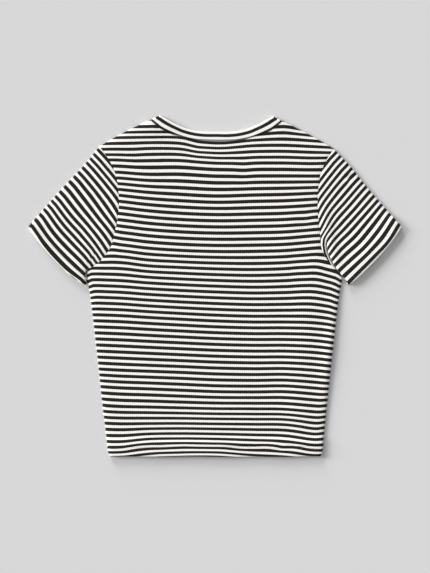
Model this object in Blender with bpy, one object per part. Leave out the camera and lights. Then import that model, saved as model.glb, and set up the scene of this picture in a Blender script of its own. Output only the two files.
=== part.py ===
"""A ribbed short-sleeved t-shirt, laid flat with its back upwards and its neck towards +Y.

Five pieces of rib knit are cut and sewn: back, front, two sleeves and a folded neckband. Each is one
wall of cloth here, with a narrow gap at each seam. Neck, hem and cuffs stay open.

Sizes are in millimetres. A place on the laid shirt is `out`, from the centre line, and `down`, below
the level of the neckband's two upper corners. Heights are above the surface that the shirt lies on.
"""

import math
from collections import namedtuple

import bmesh
import bpy

MM = 0.001

# The cut, measured flat.
LENGTH = 535.5  # neckband corner to hem
HEM_HALF = 168.5  # half of the hem's width
SHOULDER_BOW = 3.8  # the shoulder seam bows up by this between its ends
NECK_CORNER = (101.3, 4.1)  # the panels' corner where shoulder and neckband meet
NECK_HALF, NECK_TOP = 100.4, 6.7  # half width of the cut neck, and how far down it starts
BACK_NECK_DROP, BACK_NECK_POWER = 29.5, 2.8
FRONT_NECK_DROP, FRONT_NECK_POWER = 90.6, 3.6
CUFF_OUTER, CUFF_UNDER = (293.7, 171.7), (206.0, 263.0)
CUFF_BOW = 8.4  # the cuff bows outwards by this at its middle
BOW_REACH = 60.0  # and the cloth above it follows, less and less, over this length

# The neckband's two edges, from its centre back to the fold at each shoulder.
BAND_FOLD_HALF, BAND_FOLD_TOP = 89.6, 2.1
BAND_SEAM_HALF, BAND_SEAM_TOP = 100.1, 6.4
BAND_BACK_FOLD_DROP, BAND_BACK_FOLD_POWER = 21.2, 2.5
BAND_FRONT_FOLD_DROP = 82.1

# The cloth.
CLOTH = 1.2  # wall of the rib knit between its ribs
GAP = 0.3  # between pieces at a seam, and between layers where they touch
RIB_PITCH = 3.2  # one raised rib and the furrow beside it
RIB_HEIGHT = 0.4
HEM_DEPTH, CUFF_DEPTH = 18.0, 15.0  # cloth turned up inside
STACK = 2 * CLOTH + GAP  # height of two layers at a seam
TURNED = 2 * CLOTH  # thickness of a turned edge, and of the folded neckband
AIR = 1.5  # the upper layer lies this much higher away from its seams
AIR_REACH = 6.0  # over about this distance
TURN_SLOPE = 14.0  # it comes up over a turned edge along this length
TURN_CLEAR = 1.0  # and is up by this far before the turned cloth
ROUNDED = 1.2  # the last of a turned edge, where it rounds off
BAND_STEP, BAND_STEP_REACH = 1.8, 20.0  # the back comes up over the neckband's corners
SOFT_EDGE = 0.4  # cut edges are this much lower than the cloth beside them

# The mesh.
COARSE = 8  # plain faces have one column of points for this many on a ribbed face
EDGE_CLEAR = 0.5  # no column lies closer to a seam than this
TURN_STEP = 0.5  # half the length over which the inner face steps up on to turned cloth
SHOULDER_STEP = 13.0  # between the front's columns beyond its neck

Place = namedtuple("Place", "out down")

# The armhole seam, from the shoulder's tip to the underarm.
ARMHOLE = (
    Place(185.0, 48.0),
    Place(174.0, 63.0),
    Place(162.5, 87.0),
    Place(157.5, 115.0),
    Place(157.0, 146.0),
    Place(161.5, 180.0),
    Place(168.5, 211.0),
    Place(181.0, 228.5),
    Place(201.0, 243.5),
)
SIDE_SEAM = (ARMHOLE[-1], Place(199.2, 263.0), Place(HEM_HALF, LENGTH))
SIDE_ROWS = (263.0, 330.0, 400.0, 460.0, 500.0)
HEM_START = LENGTH - HEM_DEPTH
RIBBED_HEM_ROWS = (HEM_START - TURN_CLEAR, LENGTH - ROUNDED, LENGTH)
PLAIN_HEM_ROWS = (HEM_START - TURN_STEP, HEM_START + TURN_STEP, LENGTH)

# Soft ridges and hollows of the upper layer: where each lies, which way its length runs (0 is across
# the shirt, 90 is down it), its half length and half width, and its height.
Swell = namedtuple("Swell", "x down turn long wide high")
BACK_SWELLS = (
    Swell(0.0, 42.0, 0.0, 55.0, 16.0, -0.8),
    Swell(142.0, 350.0, 96.0, 110.0, 17.0, 0.9),
    Swell(30.0, 492.0, 0.0, 85.0, 17.0, 0.8),
    Swell(-120.0, 330.0, 84.0, 90.0, 24.0, 0.5),
    Swell(-95.0, 140.0, 70.0, 60.0, 16.0, 0.5),
    Swell(118.0, 165.0, 105.0, 60.0, 15.0, 0.5),
)
SLEEVE_SWELLS = {
    "sleeve_left": (
        Swell(-205.0, 205.0, 130.0, 40.0, 9.0, 0.6),
        Swell(-235.0, 175.0, 45.0, 45.0, 12.0, 0.5),
    ),
    "sleeve_right": (
        Swell(181.0, 196.0, 76.0, 40.0, 6.0, 1.3),
        Swell(228.0, 190.0, 135.0, 45.0, 10.0, 0.7),
    ),
}

# Stripes of off-white and black yarn in equal parts, seen together.
KNIT_COLOUR = (0.285, 0.272, 0.258, 1.0)
BAND_COLOUR = (0.42, 0.40, 0.38, 1.0)
KNIT_ROUGHNESS = 0.9

# A chain is a list of (key, point): points across the cloth in the order of their keys.
KEY_TOLERANCE = 1e-4


def smoothstep(low, high, value):
    """0 below low, 1 above high and a soft S between."""
    t = min(1.0, max(0.0, (value - low) / (high - low)))
    return t * t * (3 - 2 * t)


def between(table, down):
    """How far out a seam's table lies at a level."""
    for a, b in zip(table, table[1:]):
        if down <= b.down:
            return a.out + (b.out - a.out) * (down - a.down) / (b.down - a.down)
    return table[-1].out


def to_segment(x, y, a, b):
    """Distance from a place to the straight seam between two others."""
    run, fall = b[0] - a[0], b[1] - a[1]
    t = ((x - a[0]) * run + (y - a[1]) * fall) / (run * run + fall * fall)
    t = min(1.0, max(0.0, t))
    return math.hypot(x - a[0] - run * t, y - a[1] - fall * t)


def to_seam(x, y, line):
    return min(to_segment(x, y, a, b) for a, b in zip(line, line[1:]))


def swelling(x, down, swells):
    """Height that the ridges and hollows add at a place."""
    total = 0.0
    for s in swells:
        turn = math.radians(s.turn)
        along = (x - s.x) * math.cos(turn) + (down - s.down) * math.sin(turn)
        across = (down - s.down) * math.cos(turn) - (x - s.x) * math.sin(turn)
        total += s.high * math.exp(-((along / s.long) ** 2 + (across / s.wide) ** 2) / 2)
    return total


def puff(distance):
    """0 at a seam and 1 well inside it."""
    return 1 - math.exp(-distance / AIR_REACH)


def join_chains(bm, a, b):
    """Fills the strip between two chains: squares where their keys agree, and triangles elsewhere."""
    i = j = 0
    while i < len(a) - 1 or j < len(b) - 1:
        next_a = a[i + 1][0] if i < len(a) - 1 else math.inf
        next_b = b[j + 1][0] if j < len(b) - 1 else math.inf
        step_a = next_a <= next_b + KEY_TOLERANCE
        step_b = next_b <= next_a + KEY_TOLERANCE
        corners = [a[i][1]]
        if step_a:
            corners.append(a[i + 1][1])
        if step_b:
            corners.append(b[j + 1][1])
        corners.append(b[j][1])
        bm.faces.new(corners)
        i += step_a
        j += step_b


def wall(name, outer, inner, colour):
    """A piece of cloth as one closed wall. Each face is a list of (key, chain), row by row."""
    bm = bmesh.new()
    faces = []
    for rows in (outer, inner):
        faces.append([(key, [(k, bm.verts.new(p)) for k, p in chain]) for key, chain in rows])
    for rows in faces:
        for (_, a), (_, b) in zip(rows, rows[1:]):
            join_chains(bm, a, b)
    for row in (0, -1):
        join_chains(bm, faces[0][row][1], faces[1][row][1])
    for end in (0, -1):
        edges = [[(key, chain[end][1]) for key, chain in rows] for rows in faces]
        join_chains(bm, *edges)
    return finish(name, bm, colour)


def finish(name, bm, colour):
    """Faces turned outwards, smooth shading and the piece's own material."""
    bmesh.ops.recalc_face_normals(bm, faces=bm.faces)
    mesh = bpy.data.meshes.new(name)
    bm.to_mesh(mesh)
    bm.free()
    mesh.shade_smooth()
    mesh.set_sharp_from_angle(angle=math.radians(50))
    piece = bpy.data.objects.new(name, mesh)
    bpy.context.scene.collection.objects.link(piece)
    material = bpy.data.materials.new(name)
    material.use_nodes = True
    shader = material.node_tree.nodes["Principled BSDF"]
    shader.inputs["Base Color"].default_value = colour
    shader.inputs["Roughness"].default_value = KNIT_ROUGHNESS
    shader.inputs["Metallic"].default_value = 0.0
    mesh.materials.append(material)
    return piece


def at(x, down, height):
    """A point of the model, in metres, with the origin under the middle of the shirt."""
    return (x * MM, (LENGTH / 2 - down) * MM, height * MM)


# Body panels


def shoulder(x):
    """How far down the shoulder seam lies."""
    f = (x - NECK_CORNER[0]) / (ARMHOLE[0].out - NECK_CORNER[0])
    f = min(1.0, max(0.0, f))
    straight = NECK_CORNER[1] + (ARMHOLE[0].down - NECK_CORNER[1]) * f
    return straight - SHOULDER_BOW * math.sin(math.pi * f)


def top_edge(x, drop, power):
    """How far down a panel's upper edge lies: its neck, the neck's corner or the shoulder."""
    x = abs(x)
    if x <= NECK_HALF:
        return NECK_TOP + drop * (1 - (x / NECK_HALF) ** power)
    if x < NECK_CORNER[0]:
        f = (x - NECK_HALF) / (NECK_CORNER[0] - NECK_HALF)
        return NECK_TOP + (NECK_CORNER[1] - NECK_TOP) * f
    return shoulder(x)


def shoulder_places():
    """The shoulder seam as a few places, for measuring distances from it."""
    width = ARMHOLE[0].out - NECK_CORNER[0]
    outs = [NECK_CORNER[0] + width * i / 5 for i in range(6)]
    return [Place(out, shoulder(out)) for out in outs]


PANEL_EDGE = (*shoulder_places(), *ARMHOLE[1:], *SIDE_SEAM[1:])


def edge_height(down):
    """Height of the two layers at the side seam, which the turned hems make thicker."""
    up = HEM_START - TURN_CLEAR
    return STACK + TURNED * smoothstep(up - TURN_SLOPE, up, down)


def back_height(x, down):
    """Height of the back's upper face between its ribs."""
    inside = to_seam(abs(x), down, PANEL_EDGE)
    to_neck = math.hypot(abs(x) - NECK_CORNER[0], down - NECK_CORNER[1])
    over_band = BAND_STEP * math.exp(-((to_neck / BAND_STEP_REACH) ** 2))
    rise = (AIR + swelling(x, down, BACK_SWELLS)) * puff(inside)
    return edge_height(down) + rise + over_band


def hem_cloth(down):
    return TURNED if down > HEM_START else CLOTH


def rib_columns(low, high, skip=1):
    """(Place across, whether it is a rib's crest) at each rib and furrow between two limits."""
    step = RIB_PITCH / 2
    first = math.ceil(low / step)
    last = math.floor(high / step)
    return [(i * step, i % 2 == 0) for i in range(first, last + 1) if i % skip == 0]


def panel_levels(base, rows):
    """(Down at the armhole, share of the way from the upper edge to the base row) for each row."""
    top, bottom = ARMHOLE[0].down, ARMHOLE[base].down
    levels = [(p.down, (p.down - top) / (bottom - top)) for p in ARMHOLE[: base + 1]]
    levels += [(p.down, None) for p in ARMHOLE[base + 1 :]]
    return levels + [(down, None) for down in rows]


def panel_rows(levels, columns, corners, edge, base_down, height):
    """A panel's face, a chain of points across it for each level."""
    rows = []
    for down, share in levels:
        table = ARMHOLE if down <= ARMHOLE[-1].down else SIDE_SEAM
        end = between(table, down)
        inner = sorted(columns + (corners if share is not None else []))
        chain = []
        inner = [column for column in inner if abs(column[0]) < end - EDGE_CLEAR]
        for x, crest in [(-end, None), *inner, (end, None)]:
            level = down
            if share is not None:
                level = edge(x) + (base_down - edge(x)) * share
            chain.append((x, at(x, level, height(x, level, crest))))
        rows.append((down, chain))
    return rows


def back_panel():
    def edge(x):
        return top_edge(x, BACK_NECK_DROP, BACK_NECK_POWER)

    def outer_height(x, down, crest):
        if crest is None or down >= LENGTH:
            return back_height(x, down) - SOFT_EDGE
        return back_height(x, down) + RIB_HEIGHT * crest

    def inner_height(x, down, crest):
        return back_height(x, down) - hem_cloth(down)

    base = 2
    corners = [(x, False) for c in (NECK_HALF, NECK_CORNER[0]) for x in (-c, c)]
    widest = ARMHOLE[-1].out
    base_down = ARMHOLE[base].down
    outer_levels = panel_levels(base, SIDE_ROWS + RIBBED_HEM_ROWS)
    inner_levels = panel_levels(base, SIDE_ROWS + PLAIN_HEM_ROWS)
    ribbed = rib_columns(-widest, widest)
    plain = rib_columns(-widest, widest, COARSE)
    outer = panel_rows(outer_levels, ribbed, corners, edge, base_down, outer_height)
    inner = panel_rows(inner_levels, plain, corners, edge, base_down, inner_height)
    return wall("back_panel", outer, inner, KNIT_COLOUR)


def neck_stations(count):
    """Shares of the neck's half width, closer together near the shoulders."""
    return [math.sin(math.pi * (i / count - 0.5)) for i in range(count + 1)]


FRONT_STATIONS = 26


def front_panel():
    def edge(x):
        return top_edge(x, FRONT_NECK_DROP, FRONT_NECK_POWER)

    def under_height(x, down, crest):
        return 0.0

    def upper_height(x, down, crest):
        return hem_cloth(down)

    base = 3
    base_down = ARMHOLE[base].down
    columns = [(s * NECK_HALF, False) for s in neck_stations(FRONT_STATIONS)]
    count = math.ceil((ARMHOLE[-1].out - NECK_CORNER[0]) / SHOULDER_STEP)
    beyond = [NECK_CORNER[0] + SHOULDER_STEP * i for i in range(count)]
    columns += [(side * x, False) for x in beyond for side in (-1, 1)]
    levels = panel_levels(base, SIDE_ROWS + PLAIN_HEM_ROWS)
    under = panel_rows(levels, columns, [], edge, base_down, under_height)
    upper = panel_rows(levels, columns, [], edge, base_down, upper_height)
    return wall("front_panel", under, upper, KNIT_COLOUR)


# Sleeves. Their own places are `along`, from the cuff to the shoulder, and `across`, from the fold on
# top of the arm to the underarm seam.

CUFF_WIDTH = math.hypot(CUFF_UNDER[0] - CUFF_OUTER[0], CUFF_UNDER[1] - CUFF_OUTER[1])
ACROSS = tuple((CUFF_UNDER[i] - CUFF_OUTER[i]) / CUFF_WIDTH for i in (0, 1))
ALONG = (-ACROSS[1], ACROSS[0])
FOLD_REACH = 3.0  # the fold on top of the arm curves over this width
FOLD_ROUND = ((1.0, 0.0), (0.23, 0.12), (0.0, 0.5), (0.23, 0.88))  # as shares of width and height
FOLD_ROOM = 0.2  # between the fold's cloth and the first point inside it
FOLD_KEY, LOWER_KEY = -500.0, -1000.0
TIP_SHARE = 0.25  # the sleeve starts this far down the armhole's first stretch


def to_sleeve(place):
    x, y = place[0] - CUFF_OUTER[0], place[1] - CUFF_OUTER[1]
    return x * ALONG[0] + y * ALONG[1], x * ACROSS[0] + y * ACROSS[1]


def from_sleeve(along, across):
    bow = CUFF_BOW * max(0.0, 1 - along / BOW_REACH) ** 2
    share = min(1.0, max(0.0, across / CUFF_WIDTH))
    along -= bow * 4 * share * (1 - share)
    return tuple(CUFF_OUTER[i] + along * ALONG[i] + across * ACROSS[i] for i in (0, 1))


def outward(line, distance):
    """A seam's places moved away from the body."""
    moved = []
    for i, place in enumerate(line):
        a, b = line[max(0, i - 1)], line[min(len(line) - 1, i + 1)]
        run, fall = b.out - a.out, b.down - a.down
        size = math.hypot(run, fall)
        moved.append(Place(place.out + distance * fall / size, place.down - distance * run / size))
    return moved


def sleeve_seam():
    """(Along, across) of the armhole as the sleeve's edge, from the shoulder to the cuff."""
    line = outward(ARMHOLE, GAP)
    tip = Place(*(line[0][i] + (line[1][i] - line[0][i]) * TIP_SHARE for i in (0, 1)))
    return [to_sleeve(p) for p in (tip, *line[1:])]


def fold_across(along):
    """The fold on top of the arm runs straight from the cuff to the shoulder's tip."""
    tip_along, tip_across = to_sleeve(ARMHOLE[0])
    return tip_across * along / tip_along


def cuff_height(along):
    up = CUFF_DEPTH + TURN_CLEAR
    return STACK + TURNED * smoothstep(up + TURN_SLOPE, up, along)


def sleeve(name, side):
    seam = sleeve_seam()
    tip = to_sleeve(ARMHOLE[0])
    fold_line = [from_sleeve(0, 0), from_sleeve(*tip)]
    outline = [*ARMHOLE, Place(*CUFF_UNDER)]

    def end_across(along):
        low, high = (0.0, CUFF_WIDTH), seam[-1]
        if along >= high[0]:
            return next(across for a, across in seam if abs(a - along) < KEY_TOLERANCE)
        return low[1] + (high[1] - low[1]) * along / high[0]

    def height(along, across):
        out, down = from_sleeve(along, across)
        inside = min(to_seam(out, down, fold_line), to_seam(out, down, outline))
        rise = AIR + swelling(side * out, down, SLEEVE_SWELLS[name])
        return cuff_height(along) + rise * puff(inside)

    def point(along, across, level):
        out, down = from_sleeve(along, across)
        return at(side * out, down, level)

    def chain(along, columns, lower, upper, fold):
        """Points from the lower layer's edge round the fold to the upper layer's edge."""
        start, end = fold_across(along), end_across(along)
        first, last = start + FOLD_REACH + EDGE_CLEAR, end - EDGE_CLEAR
        inside = [c for c in columns if first < c[0] < last]
        coarse = [c for c in inside if round(c[0] / (RIB_PITCH / 2)) % COARSE == 0]
        points = [(LOWER_KEY - end, point(along, end, lower(along)))]
        points += [(LOWER_KEY - q, point(along, q, lower(along))) for q, _ in reversed(coarse)]
        for i, (reach, level) in enumerate(fold(along)):
            points.append((FOLD_KEY + i, point(along, start + reach, level)))
        points += [(q, point(along, q, upper(along, q, crest))) for q, crest in inside]
        points.append((end, point(along, end, upper(along, end, None))))
        return points

    def outer_upper(along, across, crest):
        if crest is None or along <= 0:
            return height(along, across) - SOFT_EDGE
        return height(along, across) + RIB_HEIGHT * crest

    def outer_fold(along):
        top = cuff_height(along)
        near = height(along, fold_across(along) + FOLD_REACH)
        turned = [(FOLD_REACH * reach, top * rise) for reach, rise in FOLD_ROUND]
        return (*turned, (FOLD_REACH, near))

    def cloth(along):
        return TURNED if along < CUFF_DEPTH else CLOTH

    def inner_fold(along):
        near = height(along, fold_across(along) + FOLD_REACH) - cloth(along)
        middle = cuff_height(along) / 2
        return ((FOLD_REACH, cloth(along)), (CLOTH + FOLD_ROOM, middle), (FOLD_REACH, near))

    levels = [along for along, _ in seam]
    outer_levels = [*levels, CUFF_DEPTH, ROUNDED, 0.0]
    inner_levels = [*levels, CUFF_DEPTH + TURN_STEP, CUFF_DEPTH - TURN_STEP, 0.0]
    fine = rib_columns(tip[1], CUFF_WIDTH)
    plain = rib_columns(tip[1], CUFF_WIDTH, COARSE)
    outer = [(-a, chain(a, fine, lambda _: 0.0, outer_upper, outer_fold)) for a in outer_levels]
    inner = [
        (-a, chain(a, plain, cloth, lambda b, q, _: height(b, q) - cloth(b), inner_fold))
        for a in inner_levels
    ]
    return wall(name, outer, inner, KNIT_COLOUR)


# Neckband: a folded strip sewn into a ring. At each shoulder it turns over from the back, on top, to
# the front, underneath.

BAND_HALF = TURNED / 2
BAND_FRONT_MIDDLE = BAND_HALF
BAND_SAG = 1.1  # it lies lower at the centre back, where nothing is under it
BAND_DOWN, BAND_UP = 0.45, 0.84  # shares of its half width between which it comes up again
BAND_ROUND = 0.07  # share of its width over which its folded edge rounds off
BAND_SECTION = ((BAND_ROUND, 1), (0.5, 1), (1, 1), (1, -1), (BAND_ROUND, -1), (0, 0))
TURN_STEPS = 6


def back_middle(share):
    top = TURNED + GAP + BAND_HALF
    return top - BAND_SAG * (1 - smoothstep(BAND_DOWN, BAND_UP, abs(share)))


def band_edges(share, fold_drop, fold_power, seam_drop, seam_power):
    fold = (BAND_FOLD_HALF * share, BAND_FOLD_TOP + fold_drop * (1 - abs(share) ** fold_power))
    seam = (BAND_SEAM_HALF * share, BAND_SEAM_TOP + seam_drop * (1 - abs(share) ** seam_power))
    return fold, seam


def back_edges(share):
    return band_edges(share, BAND_BACK_FOLD_DROP, BAND_BACK_FOLD_POWER, BACK_NECK_DROP, BACK_NECK_POWER)


def front_edges(share):
    return band_edges(share, BAND_FRONT_FOLD_DROP, FRONT_NECK_POWER, FRONT_NECK_DROP, FRONT_NECK_POWER)


def band_section(bm, edges, middle, tilt, thick, away=(0.0, 0.0)):
    """Six points round the band. Tilt turns it from face up, 0, to face down, 180."""
    (fx, fy), (sx, sy) = edges
    up, out = math.cos(tilt), math.sin(tilt)
    loop = []
    for share, depth in BAND_SECTION:
        half = thick if depth > 0 else BAND_HALF
        x = fx + (sx - fx) * share + away[0] * out * half * depth
        y = fy + (sy - fy) * share + away[1] * out * half * depth
        loop.append(bm.verts.new(at(x, y, middle + up * half * depth)))
    return loop


def neckband():
    bm = bmesh.new()
    loops = []
    length = 2 * BAND_SEAM_HALF
    ribs = round(length / RIB_PITCH)
    for i in range(2 * ribs + 1):
        share = i / ribs - 1
        thick = BAND_HALF + RIB_HEIGHT * (i % 2)
        loops.append(band_section(bm, back_edges(share), back_middle(share), 0.0, thick))
    radius = (back_middle(1) - BAND_FRONT_MIDDLE) / 2
    for side in (1, -1):
        (fx, fy), (sx, sy) = back_edges(side)
        size = math.hypot(sx - fx, sy - fy)
        away = (side * (sy - fy) / size, -abs(sx - fx) / size)
        turn = []
        for i in range(1, TURN_STEPS):
            tilt = math.pi * i / TURN_STEPS
            shift = radius * math.sin(tilt)
            edges = tuple((x + away[0] * shift, y + away[1] * shift) for x, y in ((fx, fy), (sx, sy)))
            middle = BAND_FRONT_MIDDLE + radius * (1 + math.cos(tilt))
            turn.append((edges, middle, tilt, away))
        if side < 0:
            turn.reverse()
        for edges, middle, tilt, direction in turn:
            loops.append(band_section(bm, edges, middle, tilt, BAND_HALF, direction))
        if side > 0:
            for share in reversed(neck_stations(FRONT_STATIONS)):
                loops.append(
                    band_section(bm, front_edges(share), BAND_FRONT_MIDDLE, math.pi, BAND_HALF)
                )
    for a, b in zip(loops, loops[1:] + loops[:1]):
        for i in range(len(a)):
            j = (i + 1) % len(a)
            bm.faces.new((a[i], a[j], b[j], b[i]))
    return finish("neckband", bm, BAND_COLOUR)


def main():
    for old in list(bpy.data.objects):
        bpy.data.objects.remove(old)
    back_panel()
    front_panel()
    sleeve("sleeve_left", -1)
    sleeve("sleeve_right", 1)
    neckband()


main()
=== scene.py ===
# %% [markdown]
# # A ribbed t-shirt, laid flat
#
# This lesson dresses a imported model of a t-shirt: short sleeves, a round neck and even black and
# off-white stripes, lying with its back upwards. The model gives plain walls of cloth at their real
# places. Each one is replaced here by a finer shell of rib knit with the same cut and about the same
# height.

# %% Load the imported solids
import math
from collections import namedtuple

import bmesh
import bpy
import numpy as np
from mathutils import Matrix, Vector
from mathutils.bvhtree import BVHTree


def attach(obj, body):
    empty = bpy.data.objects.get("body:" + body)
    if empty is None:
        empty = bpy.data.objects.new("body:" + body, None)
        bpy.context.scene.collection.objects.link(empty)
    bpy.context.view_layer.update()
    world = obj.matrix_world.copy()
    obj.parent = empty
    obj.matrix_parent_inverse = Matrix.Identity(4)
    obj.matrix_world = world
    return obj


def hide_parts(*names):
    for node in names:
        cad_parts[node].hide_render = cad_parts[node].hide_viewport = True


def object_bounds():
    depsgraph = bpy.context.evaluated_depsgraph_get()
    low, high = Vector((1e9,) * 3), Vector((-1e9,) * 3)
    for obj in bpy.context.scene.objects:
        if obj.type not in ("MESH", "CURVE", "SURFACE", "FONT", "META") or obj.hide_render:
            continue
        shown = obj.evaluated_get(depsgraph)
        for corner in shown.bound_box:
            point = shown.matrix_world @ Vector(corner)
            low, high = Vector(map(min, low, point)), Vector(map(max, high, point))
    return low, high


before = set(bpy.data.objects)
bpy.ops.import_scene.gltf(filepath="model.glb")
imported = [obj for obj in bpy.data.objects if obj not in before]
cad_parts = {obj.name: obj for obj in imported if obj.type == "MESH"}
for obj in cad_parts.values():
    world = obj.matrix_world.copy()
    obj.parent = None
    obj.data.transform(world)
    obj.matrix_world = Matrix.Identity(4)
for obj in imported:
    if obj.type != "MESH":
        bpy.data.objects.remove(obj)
cad_box = [[float(value) for value in corner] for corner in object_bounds()]
MM = 0.001
LENGTH = (cad_box[1][1] - cad_box[0][1]) / MM
print("nodes:", sorted(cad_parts), "length in mm:", round(LENGTH, 1))

# %% [markdown]
# ## Camera, light and floor
#
# A shirt is photographed flat from straight above, from far enough away that its edges don't lean.
# The light is nearly even, so white cloth stays white all over, and two soft lamps at the left and the
# top leave a short shadow below and to the right of the shirt. Sun lamps with a wide angle do this:
# they light a floor evenly, which a lamp near the floor doesn't. Colours are shown without a film
# curve.

# %% Camera, light and floor
PHOTO_HIGH = 573
MM_PER_PIXEL = 1.575
AIM = (-2.2, 0.8)
CAMERA_HEIGHT = 2600.0
SENSOR_HIGH = 24.0
CLOTH_LEVEL = 5.0
FARTHEST = 50.0
Sun = namedtuple("Sun", "name side up power wide")
SUNS = (
    Sun("lamp at the left", (-0.90, 0.22), 0.30, 4.08, 22),
    Sun("lamp at the top", (-0.38, 0.87), 0.26, 2.70, 21),
)
SKY = 0.483


def set_inputs(node, values):
    """Sets sockets of a node by their names."""
    for name, value in values.items():
        node.inputs[name].default_value = value


def make_camera():
    """A camera straight above, as far off and as narrow as it has to be to frame the shirt."""
    data = bpy.data.cameras.new("camera")
    data.sensor_fit = "VERTICAL"
    data.sensor_height = SENSOR_HIGH
    seen = PHOTO_HIGH * MM_PER_PIXEL
    data.lens = SENSOR_HIGH * (CAMERA_HEIGHT - CLOTH_LEVEL) / seen
    data.clip_end = FARTHEST
    camera = bpy.data.objects.new("camera", data)
    camera.location = Vector((AIM[0], AIM[1], CAMERA_HEIGHT)) * MM
    bpy.context.scene.collection.objects.link(camera)
    bpy.context.scene.camera = camera
    return camera


def make_light():
    """Two wide sun lamps and a plain white sky."""
    for sun in SUNS:
        data = bpy.data.lights.new(sun.name, "SUN")
        data.energy = sun.power
        data.angle = math.radians(sun.wide)
        lamp = bpy.data.objects.new(sun.name, data)
        lamp.rotation_euler = Vector((*sun.side, sun.up)).to_track_quat("Z", "Y").to_euler()
        bpy.context.scene.collection.objects.link(lamp)
    world = bpy.data.worlds.new("studio")
    world.use_nodes = True
    set_inputs(world.node_tree.nodes["Background"], {"Color": (1, 1, 1, 1), "Strength": SKY})
    bpy.context.scene.world = world


def link_mesh(name, bm):
    """Makes an object of a bmesh, at the origin, and lets go of the bmesh."""
    mesh = bpy.data.meshes.new(name)
    bm.to_mesh(mesh)
    bm.free()
    piece = bpy.data.objects.new(name, mesh)
    bpy.context.scene.collection.objects.link(piece)
    return piece


FLOOR_SIZE = 4.0
FLOOR_GREY = 0.616


def make_floor():
    """The pale floor, which isn't part of the shirt."""
    bm = bmesh.new()
    bmesh.ops.create_grid(bm, x_segments=1, y_segments=1, size=FLOOR_SIZE)
    floor = link_mesh("floor", bm)
    material = bpy.data.materials.new("pale floor")
    material.use_nodes = True
    grey = (FLOOR_GREY, FLOOR_GREY, FLOOR_GREY, 1)
    shader = material.node_tree.nodes["Principled BSDF"]
    set_inputs(shader, {"Base Color": grey, "Roughness": 1.0, "Specular IOR Level": 0.0})
    floor.data.materials.append(material)
    return floor


bpy.context.scene.view_settings.view_transform = "Standard"
camera = make_camera()
make_light()
make_floor()
print("lens:", round(camera.data.lens, 1), "mm")

# %% [markdown]
# ## The cut of the shirt
#
# A maker starts from the cut: how wide the cloth is at each level. Places are in millimetres, `out`
# from the centre line and `down` from the neckband's upper corners, as on a paper pattern. A few
# places on each seam are enough, because a smooth curve is drawn through them.

# %% The cut
Place = namedtuple("Place", "out down")


def rows_of(kind, *rows):
    """A table: each row is given a kind's names, such as a place's out and down."""
    return tuple(kind(*row) for row in rows)


NECK_CORNER = Place(101.3, 4.1)
BACK_NECK = rows_of(
    Place,
    (0, 35.6), (20, 35.2), (30, 34.7), (40, 33.2), (50, 30.9), (60, 27.7), (70, 23.6),
    (80, 19.0), (88, 14.6), (95, 9.2), NECK_CORNER,
)
FRONT_NECK_DROP, FRONT_NECK_POWER = 90.6, 3.6
SHOULDER_BOW = 1.9
HEM_HALF = 167.8
HEM_CORNER = 3.0
ARMHOLE = rows_of(
    Place,
    (185.0, 48.0), (174.0, 63.0), (162.5, 87.0), (157.5, 115.0), (157.0, 146.0), (161.5, 180.0),
    (168.5, 211.0), (181.0, 228.5), (201.5, 245.5),
)
SIDE = rows_of(
    Place,
    (201.2, 256.0), (199.4, 264.0), (196.8, 278.0), (191.5, 320.0), (187.0, 360.0),
    (182.6, 400.0), (179.6, 430.0), (HEM_HALF, 535.5),
)


def smooth_curve(at, xs, ys):
    """Reads a smooth line through a few chosen points."""
    xs, ys = np.asarray(xs, float), np.asarray(ys, float)
    slope = np.gradient(ys, xs)
    i = np.clip(np.searchsorted(xs, at) - 1, 0, len(xs) - 2)
    width = xs[i + 1] - xs[i]
    t = np.clip((at - xs[i]) / width, 0, 1)
    rise = (3 - 2 * t) * t * t
    start = t * (1 - t) ** 2 * width * slope[i]
    end = t * t * (t - 1) * width * slope[i + 1]
    return ys[i] + (ys[i + 1] - ys[i]) * rise + start + end


def smoothstep(low, high, value):
    """0 up to low and 1 from high on, with a soft rise between."""
    t = np.clip((value - low) / (high - low), 0, 1)
    return t * t * (3 - 2 * t)


def armhole_out(down):
    """How far out the armhole is at each level."""
    return smooth_curve(down, [p.down for p in ARMHOLE], [p.out for p in ARMHOLE])


def panel_out(down):
    """Half width of the back or front at a level: armhole first, then side seam."""
    under = ARMHOLE[-1]
    line = (under, *SIDE)
    side = np.interp(down, [p.down for p in line], [p.out for p in line])
    side -= HEM_CORNER * smoothstep(LENGTH - 2 * HEM_CORNER, LENGTH + HEM_CORNER, down)
    return np.where(down < under.down, armhole_out(down), side)


def shoulder(x):
    """The shoulder seam's level, a little bowed."""
    f = np.clip((np.abs(x) - NECK_CORNER.out) / (ARMHOLE[0].out - NECK_CORNER.out), 0, 1)
    straight = NECK_CORNER.down + (ARMHOLE[0].down - NECK_CORNER.down) * f
    return straight - SHOULDER_BOW * np.sin(np.pi * f)


def read(out, places):
    """The level of a line of places at each distance from the centre."""
    return smooth_curve(np.abs(out), [p.out for p in places], [p.down for p in places])


def back_top(x):
    """The back's upper edge: neck in the middle, then shoulder."""
    return np.where(np.abs(x) < NECK_CORNER.out, read(x, BACK_NECK), shoulder(x))


def front_top(x):
    """The front's upper edge, cut deeper at the neck than the back's."""
    neck = FRONT_NECK_DROP * (1 - np.minimum(1, np.abs(x) / NECK_CORNER.out) ** FRONT_NECK_POWER)
    return np.where(np.abs(x) < NECK_CORNER.out, neck + NECK_CORNER.down, shoulder(x))


SHOULDER_STEPS, ARMHOLE_STEPS, UNDERARM_STEPS = 16, 60, 12
UNDERARM_END = 280
HEM_END, PAST_HEM = 8, 30


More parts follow.
